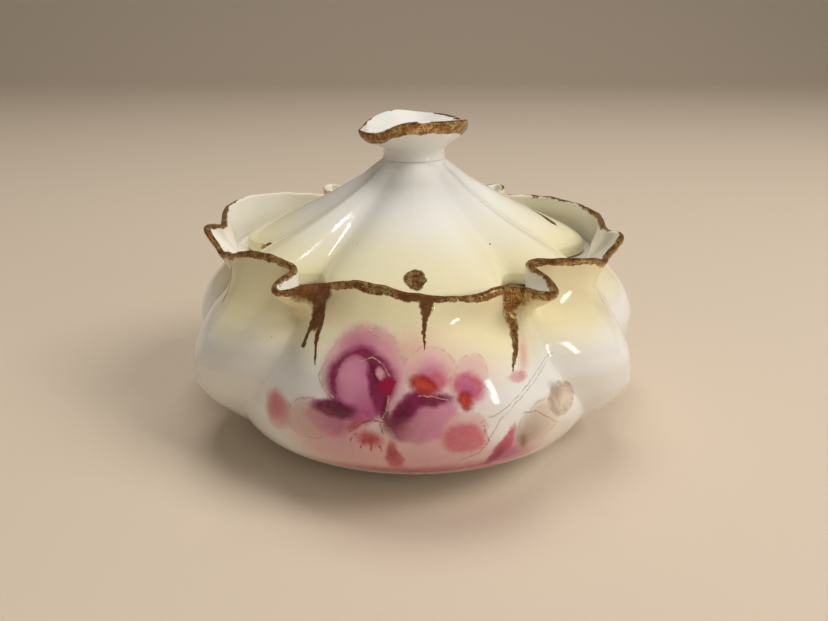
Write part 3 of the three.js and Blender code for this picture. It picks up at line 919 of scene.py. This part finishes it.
def finish_glaze(nodes, shader, where, colour, metal, rough, lumps, lump_height):
    """Joins the colour to the shader, with a faint ripple in the glaze and relief for `lumps`."""
    ripple = nodes.noise(where, 110, 2, 0.4)
    height = nodes.math("MULTIPLY", ripple, GLAZE_RIPPLE)
    grain = nodes.math("MULTIPLY", nodes.noise(where, 1500, 2, 0.6), 0.35)
    raised = nodes.math("MULTIPLY", lumps, nodes.math("ADD", grain, 0.8))
    height = nodes.math("ADD", height, nodes.math("MULTIPLY", raised, lump_height))
    bump = nodes.add("Bump")
    bump.inputs["Strength"].default_value = 1
    bump.inputs["Distance"].default_value = 1
    nodes.put(bump.inputs["Height"], height)
    nodes.put(shader.inputs["Base Color"], colour)
    nodes.put(shader.inputs["Metallic"], metal)
    nodes.put(shader.inputs["Roughness"], rough)
    nodes.put(shader.inputs["Normal"], bump.outputs[0])
    shader.inputs["IOR"].default_value = GLAZE_IOR


def object_place(nodes):
    return nodes.add("TexCoord").outputs["Object"]


def warped(nodes, place, where, scale, amount):
    """Painting place moved about by noise, so that edges wander as a brush does."""
    drift = nodes.vector("SUBTRACT", nodes.noise(where, scale, 3, 0.6, colour=True), (0.5, 0.5, 0.5))
    return nodes.vector("ADD", place, nodes.vector("MULTIPLY", drift, (amount, amount, 0)))


def painted_porcelain(blot, petal, stroke):
    material, nodes, shader = new_material("painted_porcelain")
    where = object_place(nodes)
    x, y, _ = nodes.split(where)
    round_from_front = nodes.math("ARCTAN2", x, nodes.math("MULTIPLY", y, -1.0))
    climb = nodes.attribute("climb")
    from_rim = nodes.attribute("from_rim")
    place = nodes.join(nodes.math("MULTIPLY", round_from_front, PAINT_RADIUS), climb)
    outside = nodes.fade(from_rim, -0.6, 0.2)

    clouds = nodes.noise(where, 45, 2, 0.5)
    high = nodes.math("ADD", climb, nodes.math("MULTIPLY", nodes.math("SUBTRACT", clouds, 0.5), 16.0))
    tint = nodes.math("MULTIPLY", nodes.fade(high, 48, 66), nodes.fade(from_rim, -1.5, 1.5, 0.15, 1))
    bare = nodes.blend(tint, WHITE_GLAZE, CREAM_GLAZE)
    colour = bare

    brushed = warped(nodes, place, where, 260, 2.6)
    grain = nodes.noise(where, 700, 3, 0.65)
    for centre, length, width, turn, taper, heart, soft, strength, inner, outer, line in PETALS:
        layer = use_group(
            nodes, petal, Place=brushed, Grain=grain, Centre=(*centre, 0),
            Turn=(0, 0, math.radians(turn)), Size=(length, width, 1), Taper=taper, Soft=soft,
            Heart=heart, Strength=strength, Line=line, Inner=inner, Outer=outer, Colour=colour,
        )
        colour, brushed = layer["Colour"], layer["Place"]
    drawn = warped(nodes, place, where, 500, 0.9)
    enamel = 0.0
    for points, start_width, end_width, tint_colour, strength, relief in LINES:
        mask, drawn = stroke_mask(nodes, stroke, drawn, points, start_width, end_width)
        broken = nodes.fade(grain, 0.38, 0.56, 0.15, strength)
        mask = nodes.math("MULTIPLY", mask, broken)
        colour = nodes.blend(mask, colour, tint_colour)
        if relief:
            enamel = nodes.math("MAXIMUM", enamel, mask)
    colour = nodes.blend(outside, bare, colour)
    enamel = nodes.math("MULTIPLY", enamel, outside)
    colour = nodes.blend(specks(nodes, where), colour, SPECK)

    ragged = nodes.math("SUBTRACT", nodes.noise(where, 320, 4, 0.65), 0.5)
    patchy = nodes.math("SUBTRACT", nodes.noise(where, 60, 2, 0.5), 0.5)
    spread = nodes.math("ADD", nodes.math("MULTIPLY", ragged, 2.4), nodes.math("MULTIPLY", patchy, 3.2))
    off = nodes.math("ADD", nodes.math("ABSOLUTE", nodes.math("SUBTRACT", from_rim, 0.3)), spread)
    back_wear = nodes.math("MULTIPLY", nodes.fade(y, 0, 0.03), nodes.fade(x, 0.01, -0.02, 0.6, 1.6))
    gold = nodes.fade(nodes.math("ADD", off, back_wear), 1.5, 1.2)
    running = warped(nodes, place, where, 420, 2.2)
    runs = 0.0
    worn_runs = 0.0
    for points, start_width, end_width, worn in GOLD_RUNS:
        mask, running = stroke_mask(nodes, stroke, running, points, start_width, end_width)
        runs = nodes.math("MAXIMUM", runs, mask)
        if worn:
            worn_runs = nodes.math("MAXIMUM", worn_runs, mask)
    gold = nodes.math("MAXIMUM", gold, nodes.math("MULTIPLY", runs, outside))
    colour, metal, rough = gilding(nodes, where, colour, gold, worn_runs)
    lumps = nodes.math("MAXIMUM", gold, nodes.math("MULTIPLY", enamel, 1.4))
    finish_glaze(nodes, shader, where, colour, metal, rough, lumps, BOWL_RELIEF)
    return material


def cream_porcelain(blot):
    material, nodes, shader = new_material("cream_porcelain")
    where = object_place(nodes)
    share = nodes.attribute("share")
    clouds = nodes.noise(where, 40, 2, 0.5)
    out = nodes.math("ADD", share, nodes.math("MULTIPLY", nodes.math("SUBTRACT", clouds, 0.5), 0.5))
    tint = nodes.math("MULTIPLY", nodes.fade(out, 0.35, 0.95), nodes.fade(share, 1.5, 1.1))
    colour = nodes.blend(tint, WHITE_GLAZE, LEMON_GLAZE)
    colour = nodes.blend(specks(nodes, where), colour, SPECK)
    flat = nodes.vector("MULTIPLY", where, (1000, 1000, 0))
    wandering = warped(nodes, flat, where, 380, 1.8)
    gold = None
    for centre, length, width, turn in LID_DABS:
        dab = use_group(
            nodes, blot, Place=wandering, Centre=(*centre, 0), Turn=(0, 0, math.radians(turn)),
            Size=(length, width, 1), Taper=0.2, Soft=0.1,
        )["Mask"]
        gold = dab if gold is None else nodes.math("MAXIMUM", gold, dab)
    gold = nodes.math("MULTIPLY", gold, nodes.fade(share, 1.3, 1.1))
    colour, metal, rough = gilding(nodes, where, colour, gold)
    finish_glaze(nodes, shader, where, colour, metal, rough, gold, LID_RELIEF)
    return material


def gilt_edged_porcelain():
    material, nodes, shader = new_material("gilt_edged_porcelain")
    where = object_place(nodes)
    from_rim = nodes.attribute("from_rim")
    colour = nodes.blend(specks(nodes, where), WHITE_GLAZE, SPECK)
    ragged = nodes.math("SUBTRACT", nodes.noise(where, 300, 4, 0.65), 0.5)
    patchy = nodes.math("SUBTRACT", nodes.noise(where, 110, 2, 0.5), 0.5)
    spread = nodes.math("ADD", nodes.math("MULTIPLY", ragged, 3.0), nodes.math("MULTIPLY", patchy, 4.5))
    off = nodes.math("ADD", nodes.math("ABSOLUTE", nodes.math("ADD", from_rim, 1.1)), spread)
    gold = nodes.fade(off, 2.4, 2.0)
    colour, metal, rough = gilding(nodes, where, colour, gold)
    finish_glaze(nodes, shader, where, colour, metal, rough, gold, KNOB_RELIEF)
    return material


# ---- the three pieces -----------------------------------------------------------------


def place_piece(obj, material, node, body):
    obj.data.materials.append(material)
    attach(obj, body)
    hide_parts(node)


blot = blot_group()
petal = petal_group(blot)
stroke = stroke_group()
place_piece(make_bowl(), painted_porcelain(blot, petal, stroke), "bowl", "bowl")
place_piece(make_lid(), cream_porcelain(blot), "lid", "lid")
place_piece(make_knob(), gilt_edged_porcelain(), "knob", "lid")

# ---- floor, light and camera ----------------------------------------------------------
FLOOR_FRONT = -1.5
FLOOR_BEND = 1.2         # where the floor starts to curve up into the backdrop
BEND_RADIUS = 0.8
BACKDROP_HEIGHT = 2.0
FLOOR_HALF_WIDTH = 3.0
CAMERA_PLACE = (0, -0.2155, 0.112)
CAMERA_TARGET = (0, 0, 0.0288)
LENS_MM = 33.04
SENSOR_MM = 36
NEAR_CLIP = 0.01
LIGHT_TARGET = (0, 0, 0.04)
FLOOR_COLOUR = srgb(222, 206, 186)
FLOOR_ROUGHNESS = 0.7
SKY_COLOUR = srgb(230, 224, 216)
SKY_STRENGTH = 0.29
# Soft boxes: name, place (m), size (m), power (W), colour, and if the glaze mirrors it.
LIGHTS = [
    ("key", (0.75, -0.3, 0.85), (0.5, 0.5), 6.2, (1, 0.96, 0.92), False),
    ("top", (0.0, 0.2, 1.1), (0.6, 0.6), 4.4, (1, 0.97, 0.92), False),
    ("window", (0.75, -0.6, 0.35), (0.08, 0.4), 1.2, (1, 0.99, 0.97), True),
    ("lamp", (-0.25, 0.12, 0.95), (0.05, 0.03), 0.2, (1, 0.98, 0.95), True),
]


def aim(obj, target):
    direction = Vector(target) - obj.location
    obj.rotation_euler = direction.to_track_quat("-Z", "Y").to_euler()


def make_floor():
    """Pale sweep: a floor that curves up into a backdrop far behind the bowl."""
    profile = [(FLOOR_FRONT, 0.0)]
    for turn in np.linspace(0, math.pi / 2, 25):
        y = FLOOR_BEND + BEND_RADIUS * math.sin(turn)
        profile.append((y, BEND_RADIUS * (1 - math.cos(turn))))
    profile.append((FLOOR_BEND + BEND_RADIUS, BACKDROP_HEIGHT))
    points = [(x, y, z) for y, z in profile for x in (-FLOOR_HALF_WIDTH, FLOOR_HALF_WIDTH)]
    faces = [(i, i + 1, i + 3, i + 2) for i in range(0, len(points) - 2, 2)]
    mesh = bpy.data.meshes.new("floor")
    mesh.from_pydata(points, [], faces)
    mesh.shade_smooth()
    floor = bpy.data.objects.new("floor", mesh)
    bpy.context.scene.collection.objects.link(floor)
    material, nodes, shader = new_material("pale_floor")
    shader.inputs["Base Color"].default_value = (*FLOOR_COLOUR, 1)
    shader.inputs["Roughness"].default_value = FLOOR_ROUGHNESS
    mesh.materials.append(material)


def make_light(name, place, size, power, colour, mirrored):
    """Soft box aimed at the bowl; `mirrored` says if the glaze reflects it as a highlight."""
    data = bpy.data.lights.new(name, "AREA")
    data.shape = "RECTANGLE"
    data.size, data.size_y = size
    data.energy = power
    data.color = colour
    light = bpy.data.objects.new(name, data)
    light.location = place
    light.visible_glossy = mirrored
    aim(light, LIGHT_TARGET)
    bpy.context.scene.collection.objects.link(light)


def make_surroundings():
    world = bpy.data.worlds.new("studio")
    world.use_nodes = True
    background = world.node_tree.nodes["Background"]
    background.inputs["Color"].default_value = (*SKY_COLOUR, 1)
    background.inputs["Strength"].default_value = SKY_STRENGTH
    scene = bpy.context.scene
    scene.world = world
    scene.view_settings.view_transform = "Standard"
    for light in LIGHTS:
        make_light(*light)


def make_camera():
    data = bpy.data.cameras.new("camera")
    data.sensor_width = SENSOR_MM
    data.lens = LENS_MM
    data.clip_start = NEAR_CLIP
    camera = bpy.data.objects.new("camera", data)
    camera.location = CAMERA_PLACE
    aim(camera, CAMERA_TARGET)
    bpy.context.scene.collection.objects.link(camera)
    bpy.context.scene.camera = camera


make_floor()
make_surroundings()
make_camera()
